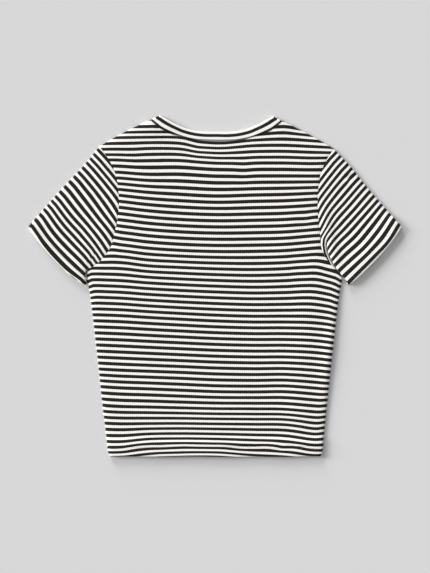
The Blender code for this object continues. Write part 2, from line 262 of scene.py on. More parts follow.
def seam_lines():
    """Places along the shoulder, the armhole and the side seam, close together where they curve."""
    outs = np.linspace(NECK_CORNER.out, ARMHOLE[0].out, SHOULDER_STEPS)
    arm_downs = np.linspace(ARMHOLE[0].down, ARMHOLE[-1].down, ARMHOLE_STEPS)
    under_downs = np.linspace(ARMHOLE[-1].down, UNDERARM_END, UNDERARM_STEPS)
    side_downs = np.concatenate((under_downs, [LENGTH - HEM_END, LENGTH + PAST_HEM]))
    shoulder_line = (outs, shoulder(outs))
    armhole_line = (armhole_out(arm_downs), arm_downs)
    side_line = (panel_out(side_downs), side_downs)
    return [np.column_stack(line) for line in (shoulder_line, armhole_line, side_line)]


def distance(x, down, line):
    """Distance of each place from a line of straight pieces."""
    near = np.full(np.shape(x), np.inf)
    for (ax, ay), (bx, by) in zip(line, line[1:]):
        run, fall = bx - ax, by - ay
        t = np.clip(((x - ax) * run + (down - ay) * fall) / (run * run + fall * fall), 0, 1)
        near = np.minimum(near, np.hypot(x - ax - run * t, down - ay - fall * t))
    return near


SHOULDER_LINE, ARMHOLE_LINE, SIDE_LINE = seam_lines()


def panel_distances(x, down):
    """Distance of each place from the panel's outer edges, and from its armhole."""
    out = np.abs(x)
    outer = np.minimum(distance(out, down, SHOULDER_LINE), distance(out, down, SIDE_LINE))
    return outer, distance(out, down, ARMHOLE_LINE)


print("armhole:", len(ARMHOLE_LINE), "places")

# %% [markdown]
# ## Laid by hand
#
# A sewn shirt is even on both sides, but a shirt that is smoothed out by hand lies a little askew.
# Three short tables say how: how far its middle has gone to the right at each level, how much lower
# its right side lies than its middle, and how far the hem has ridden up at each place across it. The
# ends of the sleeves keep a place of their own.

# %% Lean, tilt and the hem's rise
Lean = namedtuple("Lean", "down right")
LEANS = rows_of(
    Lean,
    (-10, 0), (45, 0.3), (80, 2.2), (115, 3.0), (160, 2.5), (190, 0.8), (215, -1.5), (240, -2.4),
    (256, -3.1), (272, -2.3), (300, -1.7), (330, -1.45), (380, -1.3), (425, -1.8), (560, -1.8),
)
Tilt = namedtuple("Tilt", "down drop")
TILTS = rows_of(
    Tilt,
    (-10, 1.8), (50, 1.8), (100, 0), (195, 0), (225, 1.7), (236, 2.5), (246, 4.3), (255, 3.0),
    (266, 0), (560, 0),
)
HemRise = namedtuple("HemRise", "x rise")
HEM_RISES = rows_of(
    HemRise,
    (-165, 1.4), (-136, 1.3), (-105, 0.9), (-73, 0.8), (-41, 1.1), (-10, 0.6), (21, 0.1),
    (53, 0.3), (108, 0), (147, 0.8), (165, 0.5),
)
HEM_RISE_START = 500
SLEEVE_LEAN = -2.3
HALF_CHEST = 190.0


def laid(x, down, own=0.0, away=0.0):
    """Where a place of the cut lies; away is 1 at the end of a sleeve, which has a lean of its own."""
    lean = smooth_curve(down, [row.down for row in LEANS], [row.right for row in LEANS])
    tilt = smooth_curve(down, [row.down for row in TILTS], [row.drop for row in TILTS])
    rise = smooth_curve(x, [row.x for row in HEM_RISES], [row.rise for row in HEM_RISES])
    down = down - rise * smoothstep(HEM_RISE_START, LENGTH, down)
    return x + lean + (own - lean) * away, down + tilt * (1 - away) * x / HALF_CHEST


# %% [markdown]
# ## How the cloth lies
#
# Two layers of knit with a little air between them lie about 5 mm high. They are lowest at the seams
# and thickest at the hem and cuffs, where the cloth is turned up. Soft ridges and hollows break the
# even surface. They are uneven on purpose: each has its own length, width and height.

# %% Heights
CLOTH = 1.2
GAP = 0.3
HEM_DEPTH, CUFF_DEPTH = 18.0, 15.0
STACK = 2 * CLOTH + GAP
TURNED = 2 * CLOTH
AIR, AIR_REACH = 1.5, 4.0
ARM_HOLLOW = 0.3
RIB_PITCH, RIB_HEIGHT = 3.2, 0.16
STITCH_ROWS = (12.6, 15.8)
STITCH_GROOVE, GROOVE_WIDTH = 0.4, 3.2
HEM_SLOPE, CUFF_SLOPE = 16, 15
BAND_LIFT, BAND_LIFT_REACH = 1.8, 20.0

Swell = namedtuple("Swell", "x down turn long wide high")
BACK_SWELLS = rows_of(
    Swell,
    (0, 42, 0, 55, 16, -0.8),
    (142, 350, 96, 110, 17, 0.9),
    (30, 492, 0, 85, 17, 0.8),
    (-120, 330, 84, 90, 24, 0.5),
    (-95, 140, 70, 60, 16, 0.5),
    (118, 165, 105, 60, 15, 0.5),
    (184, 378, 97, 52, 9, 2.6),
)
SLEEVE_SWELLS = {
    "sleeve_left": (
        Swell(-205, 205, 130, 40, 9, 0.6),
        Swell(-235, 175, 45, 45, 12, 0.5),
    ),
    "sleeve_right": (
        Swell(181, 196, 76, 40, 6, 1.3),
        Swell(228, 190, 135, 45, 10, 0.7),
    ),
}


def turned_places(x, down, mound):
    """Places along and across a mound that is turned, as shares of its length and width."""
    turn = math.radians(mound.turn)
    along = (x - mound.x) * math.cos(turn) + (down - mound.down) * math.sin(turn)
    across = (down - mound.down) * math.cos(turn) - (x - mound.x) * math.sin(turn)
    return along / mound.long, across / mound.wide


def swelling(x, down, swells):
    """Height of the ridges and hollows, each a long soft mound."""
    total = np.zeros(np.shape(x))
    for swell in swells:
        along, across = turned_places(x, down, swell)
        total += swell.high * np.exp(-(along**2 + across**2) / 2)
    return total


def puff(outer, to_armhole):
    """How much air there is between the layers: none at an outer edge, a little less at an armhole."""
    return (1 - np.exp(-outer / AIR_REACH)) * (1 - ARM_HOLLOW * np.exp(-to_armhole / AIR_REACH))


def groove(from_edge):
    """The rows of stitches draw the cloth in a little."""
    return STITCH_GROOVE * np.exp(-(((from_edge - STITCH_ROWS[1]) / GROOVE_WIDTH) ** 2))


def edge_height(down):
    """Height of the back's upper face: two layers of cloth, and two more over the turned hem."""
    start = LENGTH - HEM_DEPTH
    return STACK + TURNED * smoothstep(start - HEM_SLOPE, start - 1, down) - groove(LENGTH - down)


SIDE_CURL, ARM_CURL = 0.9, 0.12
CURL_REACH = 1.6


def curl_down(outer, to_armhole):
    """The cloth's edge curls down at its seams, less at the armhole than at the sides."""
    sides = SIDE_CURL * (1 - smoothstep(0, CURL_REACH, outer))
    return np.maximum(sides, ARM_CURL * (1 - smoothstep(0, CURL_REACH, to_armhole)))


def back_height(x, down, outer, to_armhole):
    """Height of the back's upper face, which the neckband lifts at the shoulders."""
    to_neck = np.hypot(np.abs(x) - NECK_CORNER.out, down - NECK_CORNER.down)
    over_band = BAND_LIFT * np.exp(-((to_neck / BAND_LIFT_REACH) ** 2))
    rise = (AIR + swelling(x, down, BACK_SWELLS)) * puff(outer, to_armhole)
    return edge_height(down) + rise + over_band


def rib_wave(rib):
    """1 on a rib's crest and 0 in its furrow."""
    return 0.5 + 0.5 * np.cos(2 * np.pi * rib)


# %% [markdown]
# ## How the stripes run
#
# Knit stripes follow the courses of the cloth, and cloth that is laid down by hand never lies square.
# The stripes sag in the middle, rise at the armholes, drop at the right side and crowd together at
# the hem. Two tables say this: how many stripes lie above each level on the centre line, and how far
# a stripe has slid down (or up, below 0) at a few places across the shirt.

# %% Stripe tables
Count = namedtuple("Count", "down stripes")
BODY_COUNT = rows_of(
    Count,
    (-24, -7), (4.3, -4), (24.5, -2), (41.2, 0), (72.3, 4), (124.6, 9), (212, 18), (266.5, 24),
    (321.3, 30), (367.5, 35), (414.1, 40), (432.7, 42), (459.6, 45), (507.2, 51), (521.5, 53),
    (534.9, 55), (562, 59),
)
BODY_PLACES = (-185, -150, -110, -60, 0, 60, 110, 150, 185)
Slide = namedtuple(
    "Slide",
    "down far_left left mid_left near_left centre near_right mid_right right far_right",
)
BODY_SLIDE = rows_of(
    Slide,
    (0, -8, -8.5, -12.5, -8, 0, -4.4, -9.4, -3.5, -1.5),
    (14, -8, -8.5, -12.5, -8, 0, -4.4, -9.4, -3.5, -1.5),
    (25, -8, -8.5, -9.1, -8, 0, -4.4, -9.2, -3.8, -1.5),
    (33, -8, -8.7, -9.2, -8.4, 0, -4.6, -8.2, -3.9, -1.3),
    (41, -8, -9.1, -9.4, -9.2, 0, -4.8, -6.7, -4.0, -1),
    (49, -7, -7.8, -8.8, -8.0, 0, -4.1, -4.6, -2.6, -0.7),
    (57, -6, -6.4, -7.4, -6.7, 0, -2.4, -2.7, -1.1, -0.5),
    (65, -5.2, -5.1, -5.9, -5.8, 0, -0.9, -1, 0.2, -0.3),
    (72, -5.5, -4.8, -4.2, -4.2, 0, -0.2, 0, 0.9, -0.2),
    (92, -7, -5.8, -2.8, -3.0, 0, -0.2, -0.2, 0.1, 0),
    (124, -14, -10.4, -6.2, -2.9, 0, -1.7, -2.7, -4.4, -6),
    (153, -15, -11.2, -6.3, -2.3, 0, -0.9, -2.2, -5.2, -8),
    (211, -11.5, -10.4, -5.6, -2.0, 0, -0.3, -1.7, -5.2, -7),
    (238, -10.2, -9.9, -5, -2.4, 0, 1.0, -0.5, -3.4, 3.8),
    (265, -10.2, -8.7, -5.4, -2.5, 0, 1.6, 0.6, -1.2, 4.9),
    (320, -9.7, -8.4, -5.8, -3, 0, 1.7, 1.7, 2.7, 6.2),
    (376, -8, -6.5, -4.7, -2.5, 0, 1.3, 1.3, 3.2, 6.8),
    (405, -7.7, -5.85, -4.35, -2.6, 0, 1.0, 0.7, 3.3, 7.0),
    (432, -8.2, -6.0, -4.6, -2.5, 0, 0.5, 0.1, 3.2, 6.6),
    (456, -6.1, -4.0, -2.95, -1.45, 0, 0.3, 1.05, 4.4, 7.3),
    (483, -1.5, -0.2, -0.4, -0.7, 0, 0.6, 1.3, 6.2, 8),
    (514, 5.7, 5.6, 0.6, -0.7, 0, 2.2, 4.7, 10.4, 11.8),
    (528, 8, 7.2, 2.8, 0.3, 0, 4.4, 7, 11.4, 12.5),
    (540, 10.5, 9.2, 3.8, 0.5, 0, 4.4, 7, 11.4, 12.5),
)


def table_slide(across, along, places, table):
    """How far the stripes have slid at each place, smooth across and straight between the rows."""
    levels = [row[0] for row in table]
    rows = np.array([smooth_curve(across, places, row[1:]) for row in table])
    i = np.clip(np.searchsorted(levels, along) - 1, 0, len(levels) - 2)
    low, high = np.take(levels, i), np.take(levels, i + 1)
    t = np.clip((along - low) / (high - low), 0, 1)
    pick = np.arange(len(across))
    return rows[i, pick] * (1 - t) + rows[i + 1, pick] * t


def stripe_count(across, along, places, table, counts):
    """The stripe coordinate: a black stripe is centred on each whole number."""
    centre = along - table_slide(across, along, places, table)
    centre = along - table_slide(across, centre, places, table)
    return np.interp(centre, [row[0] for row in counts], [row[1] for row in counts])


print("stripes down the centre:", BODY_COUNT[-2].stripes - BODY_COUNT[3].stripes + 1)

# %% [markdown]
# Close to a side seam the cloth rolls under, so the stripes bend there over a few millimetres, more
# on the right than on the left. Here and there a hand has also left a small dip. Both are too narrow
# for the table above, so each has a short list of its own.

# %% Stripes at the side seams and in small dips
Hook = namedtuple("Hook", "down left right")
HOOKS = rows_of(
    Hook,
    (240, 3.0, 6.5), (255, 3.0, 6.5), (273, 2.4, 4.6), (291, 0.6, 3.3), (309, 0, 2.4),
    (327, -0.2, 1.4), (363, 0, 0.4), (417, 0, -0.3), (435, 0, -1.2), (453, -0.4, -2.1),
    (471, -0.3, -1.9), (489, 0, -1.7), (507, 0, -1.3), (525, 0, -0.5),
)
LEFT_HOOK_REACH, RIGHT_HOOK_REACH = 5.0, 8.5
HOOK_START = (225, 245)


def edge_hook(x, down, outer):
    """How far the stripes bend down (or up, below 0) close to a side seam."""
    downs = [hook.down for hook in HOOKS]
    left = np.interp(down, downs, [hook.left for hook in HOOKS])
    right = np.interp(down, downs, [hook.right for hook in HOOKS])
    left = left * np.exp(-((outer / LEFT_HOOK_REACH) ** 2)) * (x < 0)
    right = right * np.exp(-((outer / RIGHT_HOOK_REACH) ** 2)) * (x > 0)
    return (left + right) * smoothstep(*HOOK_START, down)


Dip = namedtuple("Dip", "x down wide tall drop")
DIPS = rows_of(
    Dip,
    (-31, 45, 16, 20, 1.9), (43, 82, 15, 22, 1.3), (-130, 62, 18, 22, 0.9),
    (128, 18, 16, 12, 1.0), (140, 160, 10, 14, 0.9), (140, 238, 12, 28, 0.9),
    (163, 242, 12, 28, -0.7), (-164, 190, 10, 26, -1.8), (155, 490, 16, 14, 1.0),
    (-90, 528, 18, 10, -0.5),
)


def dips(x, down):
    """Small places where the stripes lie lower (or higher, below 0), as a hand has left them."""
    near = [np.exp(-(((x - d.x) / d.wide) ** 2) - ((down - d.down) / d.tall) ** 2) for d in DIPS]
    return sum(d.drop * share for d, share in zip(DIPS, near))


def body_stripes(x, down):
    """The stripe coordinate of a place on the back or the front."""
    down = down - dips(x, down)
    return stripe_count(x, down, BODY_PLACES, BODY_SLIDE, BODY_COUNT)


print("dips:", len(DIPS), "bends at the side seams, in levels:", len(HOOKS))

# %% [markdown]
# ## Yarn and knit
#
# Rib knit is fine: four columns of loops to a rib, two raised and two sunk, and about sixteen rows of
# loops to each pair of stripes. One node group works out the loops, the furrows and the stripe from
# two numbers that every point of the cloth carries, its `rib` and its `stripe`. A second group
# adds the uneven tone of spun yarn, and paints shade into the furrows and, by the `shade` number,
# deep in a seam or a fold. The shaders themselves stay in each material.

# %% Node groups
WHITE_YARN = (0.885, 0.865, 0.838, 1)
BLACK_YARN = (0.0080, 0.0052, 0.0030, 1)
BLACK_SHARE = 0.57
STRIPE_EDGE = 0.014
WAVER, WAVER_SCALE = 0.02, 0.9
LOOPS_PER_RIB = 4.0
ROWS_PER_STRIPE = 16.0
LOOP_LEAN, LOOP_ARCH, LEG_HIGH = 1.1, 3.2, 0.22
STEP_SHARE = 0.5
# Where the furrows between the ribs lie, for the shade painted into them.
FURROW_DEEP = (-1.0, 0.1, 1.0, 0.0)
FINE_SCALE, BROAD_SCALE = 900.0, 22.0
BROAD_TONE = (0.3, 0.7, 0.985, 1.015)
FINE_TONE = (0.25, 0.75, 0.955, 1.035)
FINE_ROUGHNESS = (0.2, 0.8, 0.82, 0.97)


class Nodes:
    """Short names for adding and joining nodes."""

    def __init__(self, tree):
        self.tree = tree

    def add(self, kind, **settings):
        node = self.tree.nodes.new(kind)
        for key, value in settings.items():
            setattr(node, key, value)
        return node

    def join(self, source, target):
        self.tree.links.new(source, target)

    def feed(self, value, socket):
        if isinstance(value, bpy.types.NodeSocket):
            self.join(value, socket)
        else:
            socket.default_value = value

    def math(self, operation, *values):
        node = self.add("ShaderNodeMath", operation=operation)
        for value, socket in zip(values, node.inputs):
            self.feed(value, socket)
        return node.outputs[0]

    def ramp(self, value, low, high, start=0.0, end=1.0):
        node = self.add("ShaderNodeMapRange", interpolation_type="SMOOTHSTEP")
        for source, name in zip((value, low, high, start, end), range(5)):
            self.feed(source, node.inputs[name])
        return node.outputs[0]

    def mix(self, share, a, b, blend="MIX"):
        node = self.add("ShaderNodeMix", data_type="RGBA", blend_type=blend)
        for source, name in zip((share, a, b), (0, 6, 7)):
            self.feed(source, node.inputs[name])
        return node.outputs[2]


def new_group(name, inputs, outputs):
    """A node group with named sockets, each given as (name, kind, default)."""
    tree = bpy.data.node_groups.new(name, "ShaderNodeTree")
    for label, kind, default in inputs:
        socket = tree.interface.new_socket(label, in_out="INPUT", socket_type="NodeSocket" + kind)
        socket.default_value = default
    for label, kind in outputs:
        tree.interface.new_socket(label, in_out="OUTPUT", socket_type="NodeSocket" + kind)
    nodes = Nodes(tree)
    return nodes, nodes.add("NodeGroupInput").outputs, nodes.add("NodeGroupOutput").inputs


def make_knit_group():
    """Loops, furrows and stripe from the rib and stripe numbers."""
    n, given, out = new_group(
        "rib knit",
        [
            ("Rib", "Float", 0.0),
            ("Stripe", "Float", 0.0),
            ("Black share", "Float", BLACK_SHARE),
            ("Waver", "Float", WAVER),
        ],
        [("Black", "Float"), ("Height", "Float"), ("Furrow", "Float")],
    )
    loops = n.math("MULTIPLY", given["Rib"], LOOPS_PER_RIB)
    side = n.math("ABSOLUTE", n.math("SUBTRACT", n.math("FRACT", loops), 0.5))
    lean = n.math("MULTIPLY", side, LOOP_LEAN)
    rows = n.math("ADD", n.math("MULTIPLY", given["Stripe"], ROWS_PER_STRIPE), lean)
    leg = n.math("COSINE", n.math("MULTIPLY", rows, 2 * math.pi))
    arch = n.math("SUBTRACT", 1.0, n.math("MULTIPLY", n.math("MULTIPLY", side, side), LOOP_ARCH))
    height = n.math("MULTIPLY_ADD", leg, LEG_HIGH, arch)
    noise = n.add("ShaderNodeTexNoise", noise_dimensions="1D")
    set_inputs(noise, {"Scale": WAVER_SCALE})
    n.join(given["Rib"], noise.inputs["W"])
    drift = n.math("MULTIPLY", n.math("SUBTRACT", noise.outputs["Fac"], 0.5), given["Waver"])
    wavering = n.math("ADD", given["Stripe"], drift)
    stepped = n.math("MULTIPLY_ADD", lean, STEP_SHARE / ROWS_PER_STRIPE, wavering)
    phase = n.math("ABSOLUTE", n.math("SUBTRACT", n.math("FRACT", n.math("ADD", stepped, 0.5)), 0.5))
    half = n.math("MULTIPLY", given["Black share"], 0.5)
    full, none = n.math("SUBTRACT", half, STRIPE_EDGE), n.math("ADD", half, STRIPE_EDGE)
    black = n.ramp(phase, full, none, 1.0, 0.0)
    wave = n.math("COSINE", n.math("MULTIPLY", given["Rib"], 2 * math.pi))
    furrow = n.ramp(wave, *FURROW_DEEP)
    n.join(black, out["Black"])
    n.join(height, out["Height"])
    n.join(furrow, out["Furrow"])
    return n.tree


def make_yarn_group():
    """Colour of spun yarn: uneven in tone along its length, with shade painted into the furrows and
    wherever a point carries shade.
    """
    n, given, out = new_group(
        "spun yarn",
        [
            ("White", "Color", WHITE_YARN),
            ("Black", "Color", BLACK_YARN),
            ("Share", "Float", 0.0),
            ("Furrow", "Float", 0.0),
            ("Depth", "Float", 0.0),
            ("Shade", "Float", 0.0),
        ],
        [("Color", "Color"), ("Roughness", "Float"), ("Fibre", "Float")],
    )
    place = n.add("ShaderNodeTexCoord").outputs["Object"]
    fine, broad = n.add("ShaderNodeTexNoise"), n.add("ShaderNodeTexNoise")
    for noise, scale, detail in ((fine, FINE_SCALE, 3.0), (broad, BROAD_SCALE, 2.0)):
        set_inputs(noise, {"Scale": scale, "Detail": detail})
        n.join(place, noise.inputs["Vector"])
    yarn = n.mix(given["Share"], given["White"], given["Black"])
    tone = n.ramp(broad.outputs["Fac"], *BROAD_TONE)
    speck = n.ramp(fine.outputs["Fac"], *FINE_TONE)
    # Painted shade: darker in the rib's furrows and wherever a point carries shade.
    sunk = n.math("SUBTRACT", 1.0, n.math("MULTIPLY", given["Furrow"], given["Depth"]))
    lit = n.math("SUBTRACT", 1.0, given["Shade"])
    level = n.math("MULTIPLY", n.math("MULTIPLY", tone, speck), n.math("MULTIPLY", sunk, lit))
    shade = n.add("ShaderNodeCombineColor")
    for name in ("Red", "Green", "Blue"):
        n.join(level, shade.inputs[name])
    n.join(n.mix(1.0, yarn, shade.outputs["Color"], "MULTIPLY"), out["Color"])
    n.join(n.ramp(fine.outputs["Fac"], *FINE_ROUGHNESS), out["Roughness"])
    n.join(fine.outputs["Fac"], out["Fibre"])
    return n.tree


KNIT = make_knit_group()
YARN = make_yarn_group()
print("node groups:", [KNIT.name, YARN.name])

# %% [markdown]
# A knit material places both groups and passes their numbers on. The bump is gentle: at arm's length
# the loops only soften the cloth. A little sheen stands for the fine hairs of cotton.

# %% Materials
# How much shade is painted into the furrows of the body's cloth and of the neckband.
FURROW_SHADE, BAND_FURROW_SHADE = 0.06, 0.08
BAND_BLACK_SHARE = 0.50
FIBRE_BUMP = 0.5
KNIT_BUMP = {"Strength": 0.3, "Distance": 0.15 * MM}
COTTON = {
    "Metallic": 0.0,
    "Specular IOR Level": 0.25,
    "Sheen Weight": 0.08,
    "Sheen Roughness": 0.5,
}


def group_node(n, tree, **values):
    """Places a node group and feeds its inputs by name."""
    node = n.add("ShaderNodeGroup", node_tree=tree)
    for key, value in values.items():
        n.feed(value, node.inputs[key.replace("_", " ").capitalize()])
    return node


def new_material(name, settings):
    """A material with its shader's plain values set, and a Nodes helper for the rest."""
    material = bpy.data.materials.new(name)
    material.use_nodes = True
    shader = material.node_tree.nodes["Principled BSDF"]
    set_inputs(shader, settings)
    return material, Nodes(material.node_tree), shader


def add_bump(n, height, settings, shader):
    """Raises the surface by a height, for light only."""
    bumps = n.add("ShaderNodeBump")
    set_inputs(bumps, settings)
    n.join(height, bumps.inputs["Height"])
    n.join(bumps.outputs["Normal"], shader.inputs["Normal"])


def make_knit(name, black_share, depth):
    """Rib knit: colour, gloss and bump from the rib, stripe and shade that each point carries."""
    material, n, shader = new_material(name, COTTON)
    rib, stripe, shade = [
        n.add("ShaderNodeAttribute", attribute_name=number).outputs["Fac"]
        for number in ("rib", "stripe", "shade")
    ]
    knit = group_node(n, KNIT, rib=rib, stripe=stripe, black_share=black_share)
    black, furrow = knit.outputs["Black"], knit.outputs["Furrow"]
    yarn = group_node(n, YARN, share=black, furrow=furrow, depth=depth, shade=shade)
    height = n.math("MULTIPLY_ADD", yarn.outputs["Fibre"], FIBRE_BUMP, knit.outputs["Height"])
    add_bump(n, height, KNIT_BUMP, shader)
    n.join(yarn.outputs["Color"], shader.inputs["Base Color"])
    n.join(yarn.outputs["Roughness"], shader.inputs["Roughness"])
    return material


body_knit = make_knit("striped rib", BLACK_SHARE, FURROW_SHADE)
band_knit = make_knit("band rib", BAND_BLACK_SHARE, BAND_FURROW_SHADE)
print("materials:", [body_knit.name, band_knit.name])

# %% [markdown]
# ## Turning a flat grid into a laid panel
#
# Each piece starts as a flat grid, as woven or knitted cloth does. Its columns follow the ribs, so
# every rib keeps its width and runs straight into the seam, as it does where scissors have cut it.
# Points beyond the cut are pulled back onto it and merged. The grid is then given a wall, and the cut
# edges stay sharp so that they don't darken the cloth beside a seam.


# %% Grid helpers
MERGE, SLIVER = 0.04, 0.01


def flat_grid(columns, rows):
    """A grid with a given number of points each way, and each point's column and row numbers."""
    bm = bmesh.new()
    bmesh.ops.create_grid(bm, x_segments=columns - 1, y_segments=rows - 1, size=0.5)
    flat = np.array([vert.co[:2] for vert in bm.verts])
    share = (flat - flat.min(axis=0)) / (flat.max(axis=0) - flat.min(axis=0))
    column = np.rint(share[:, 0] * (columns - 1)).astype(int)
    row = np.rint((1 - share[:, 1]) * (rows - 1)).astype(int)
    return bm, column, row


def shape_grid(bm, x, down, height, **numbers):
    """Moves the grid's points to their places and gives them their rib, stripe and shade."""
    layers = {key: bm.verts.layers.float.new(key) for key in numbers}
    y = LENGTH / 2 - down
    for i, vert in enumerate(bm.verts):
        vert.co = (x[i] * MM, y[i] * MM, height[i] * MM)
        for key, layer in layers.items():
            vert[layer] = numbers[key][i]
    bmesh.ops.remove_doubles(bm, verts=bm.verts, dist=MERGE * MM)
    bmesh.ops.dissolve_degenerate(bm, edges=bm.edges, dist=SLIVER * MM)


def face_up(bm):
    """Turns the faces of a folded piece so that those of its upper layer look upwards."""
    bmesh.ops.recalc_face_normals(bm, faces=bm.faces)
    upper = [face for face in bm.faces if face.calc_center_median().z > CLOTH_LEVEL * 0.5 * MM]
    if sum(face.normal.z * face.calc_area() for face in upper) < 0:
        bmesh.ops.reverse_faces(bm, faces=bm.faces)


CUT_EDGE = math.radians(50)


def finish_cloth(name, bm, material):
    """An object of rib knit with its thickness, soft faces and cut edges, and its flat area."""
    bmesh.ops.triangulate(bm, faces=[face for face in bm.faces if len(face.verts) > 4])
    area = sum(face.calc_area() for face in bm.faces)
    piece = link_mesh(name, bm)
    solid = piece.modifiers.new("wall", "SOLIDIFY")
    solid.thickness = CLOTH * MM
    solid.offset = -1
    walled = bmesh.new()
    walled.from_object(piece, bpy.context.evaluated_depsgraph_get())
    piece.modifiers.clear()
    for face in walled.faces:
        face.smooth = True
    for edge in walled.edges:
        edge.smooth = edge.calc_face_angle(0) < CUT_EDGE
    walled.to_mesh(piece.data)
    walled.free()
    piece.data.materials.append(material)
    return piece, area


# %% [markdown]
# Hem and cuffs turn under in a round fold, and their rows lie close together there. Ribs are raised
# on the outer face alone, and they fade out a few millimetres before a seam.

# %% Folds, ribs and the panels' grid
FOLD_RADIUS, FOLD_STEPS = 1.3, 9
RIB_FADE = (0.5, 4.0)
FINE_COLUMN, FRONT_COLUMN = RIB_PITCH / 4, RIB_PITCH
Run = namedtuple("Run", "start stop step")


def turn_under(along, end, depth):
    """(Level, drop) of cloth that runs to an edge, turns under in a round fold and comes back."""
    straight = end - FOLD_RADIUS
    angle = np.clip((along - straight) / FOLD_RADIUS, 0, np.pi)
    back = np.maximum(0, along - straight - np.pi * FOLD_RADIUS)
    level = np.minimum(along, straight) + FOLD_RADIUS * np.sin(angle) - np.minimum(back, depth)
    return level, FOLD_RADIUS * (1 - np.cos(angle))


def fold_rows(end, depth):
    """Row places along the cloth at a turned edge, close together round the fold."""
    straight = end - FOLD_RADIUS
    turn = straight + FOLD_RADIUS * np.linspace(0, np.pi, FOLD_STEPS)[1:]
    return [*turn, turn[-1] + depth / 2, turn[-1] + depth]


def raised_ribs(rib, inside, drop):
    """Height of the ribs on the outer face."""
    return RIB_HEIGHT * rib_wave(rib) * smoothstep(*RIB_FADE, inside) * (drop < FOLD_RADIUS)


def run_rows(runs):
    """Row places from a few evenly spaced runs."""
    return [place for run in runs for place in np.arange(*run)]


def panel_grid(runs, step):
    """A flat grid for back or front, and each point's column place, level, drop and turned length."""
    rows = run_rows(runs) + fold_rows(LENGTH, HEM_DEPTH)
    widest = math.floor(ARMHOLE[-1].out / step)
    columns = np.arange(-widest - 1, widest + 2) * step
    bm, column, row = flat_grid(len(columns), len(rows))
    along = np.array(rows)[row]
    level, drop = turn_under(along, LENGTH, HEM_DEPTH)
    return bm, columns[column], level, drop, along - level


# %% [markdown]
# ## Back
#
# The back lies on top, so it gets the finest grid: four points to a rib. Its first rows follow neck
# and shoulder and then level out, and its last rows turn under to make the hem. Before it is made,
# two short lists say how the hem's sewing puckers the stripes and how dark the shade is that is
# painted into the cloth below the neckband's seam at each place.

# %% Puckers at the hem and painted shade at the neck
Pucker = namedtuple("Pucker", "x half_width lift")
PUCKERS = rows_of(
    Pucker,
    (-128, 14, 0.8), (-88, 11, -0.7), (-52, 16, 0.6), (8, 13, 0.4), (40, 15, -0.8),
    (78, 12, 1.1), (104, 9, -1.3), (131, 12, 0.9),
)
PUCKER_REACH = 6.5


def hem_pucker(x, down):
    """The hem's sewing pulls the stripes up and down a little along its row of stitches."""
    pull = sum(p.lift * np.exp(-(((x - p.x) / p.half_width) ** 2)) for p in PUCKERS)
    return pull * np.exp(-(((down - LENGTH + STITCH_ROWS[1]) / PUCKER_REACH) ** 2))


# Shade painted below the neckband's seam: its width and darkness at each distance out, a dark line at
# the shoulders and a grey band at the centre back.
NeckPaintedShade = namedtuple("NeckPaintedShade", "out width dark")
NECK_PAINTED_SHADE = rows_of(
    NeckPaintedShade,
    (0, 4.1, 0.74), (20, 4.1, 0.76), (30, 4.0, 0.86), (42, 3.4, 0.93), (52, 2.5, 0.90),
    (60, 2.8, 0.92), (68, 4.4, 0.96), (88, 4.8, 0.97), (102, 4.6, 0.97),
)
NECK_LINE_SOFT = 0.7


def neck_shade(x, down):
    """Painted shade on the cloth that lies deep in the neckband's seam, softer at the centre back."""
    gap = down - back_top(x)
    outs = [line.out for line in NECK_PAINTED_SHADE]
    width = smooth_curve(np.abs(x), outs, [line.width for line in NECK_PAINTED_SHADE])
    dark = smooth_curve(np.abs(x), outs, [line.dark for line in NECK_PAINTED_SHADE])
    edge = 1 - smoothstep(width - NECK_LINE_SOFT, width + NECK_LINE_SOFT, gap)
    return dark * edge * (np.abs(x) < NECK_CORNER.out + 1)


# The dark seam line below the neckband is painted shade.
print("puckers:", len(PUCKERS), "places of the dark seam line:", len(NECK_PAINTED_SHADE))

# %% [markdown]
# The flat grid is now fitted to the cut, raised to its heights and moved to where the shirt lies. Its
# stripes are read last, at the places that the points have by then.

# %% Back
BACK_BASE = 87.0
BACK_ROWS = (
    Run(48, 52.4, 0.55),
    Run(52.5, BACK_BASE, 3.45),
    Run(BACK_BASE, 495, 6.5),
    Run(497, LENGTH - 2, 3.0),
)
SETTLING = 5


def panel_place(across, row_down, base, upper_edge):
    """Places of a panel's points: rows above the base follow its upper edge, columns end at the seams.

    An end moves with its row and a row with its end, so a few rounds let both settle.
    """
    share = np.clip((row_down - ARMHOLE[0].down) / (base - ARMHOLE[0].down), 0, 1)
    down = row_down
    for _ in range(SETTLING):
        end = panel_out(np.minimum(down, LENGTH))
        x = np.clip(across, -end, end)
        down = np.where(row_down < base, base - (base - upper_edge(x)) * (1 - share), row_down)
    return x, down


def make_back():
    """The back's cloth, and its flat area."""
    bm, across, level, drop, turned = panel_grid(BACK_ROWS, FINE_COLUMN)
    x, down = panel_place(across, level, BACK_BASE, back_top)
    outer, to_armhole = panel_distances(x, down)
    height = back_height(x, down, outer, to_armhole) - drop - curl_down(outer, to_armhole)
    rib = x / RIB_PITCH
    height += raised_ribs(rib, np.minimum(outer, to_armhole), drop)
    place, level = laid(x, down)
    bend = hem_pucker(place, level) - edge_hook(place, level, outer)
    stripe = body_stripes(place, level + turned + bend)
    shape_grid(bm, place, level, height, rib=rib, stripe=stripe, shade=neck_shade(x, down))
    return finish_cloth("back_cloth", bm, body_knit)


back, back_area = make_back()
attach(back, "root")
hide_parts("back_panel")
print("back:", len(back.data.polygons), "faces,", round(back_area, 3), "square metres")

# %% [markdown]
# ## Front
#
# The front lies face down, flat on the floor, so its grid is plain and coarser. Its neck is cut
# deeper than the back's, and its edges curl up to meet the back at the side seams.

# %% Front
FRONT_BASE = 115.0
FRONT_ROWS = (
    Run(48, FRONT_BASE, 3.35),
    Run(FRONT_BASE, 510, 8.0),
    Run(513, LENGTH - 2, 4.0),
)
Peek = namedtuple("Peek", "size middle reach")
UNDERARM_PEEK = Peek(1.6, 257, 6)


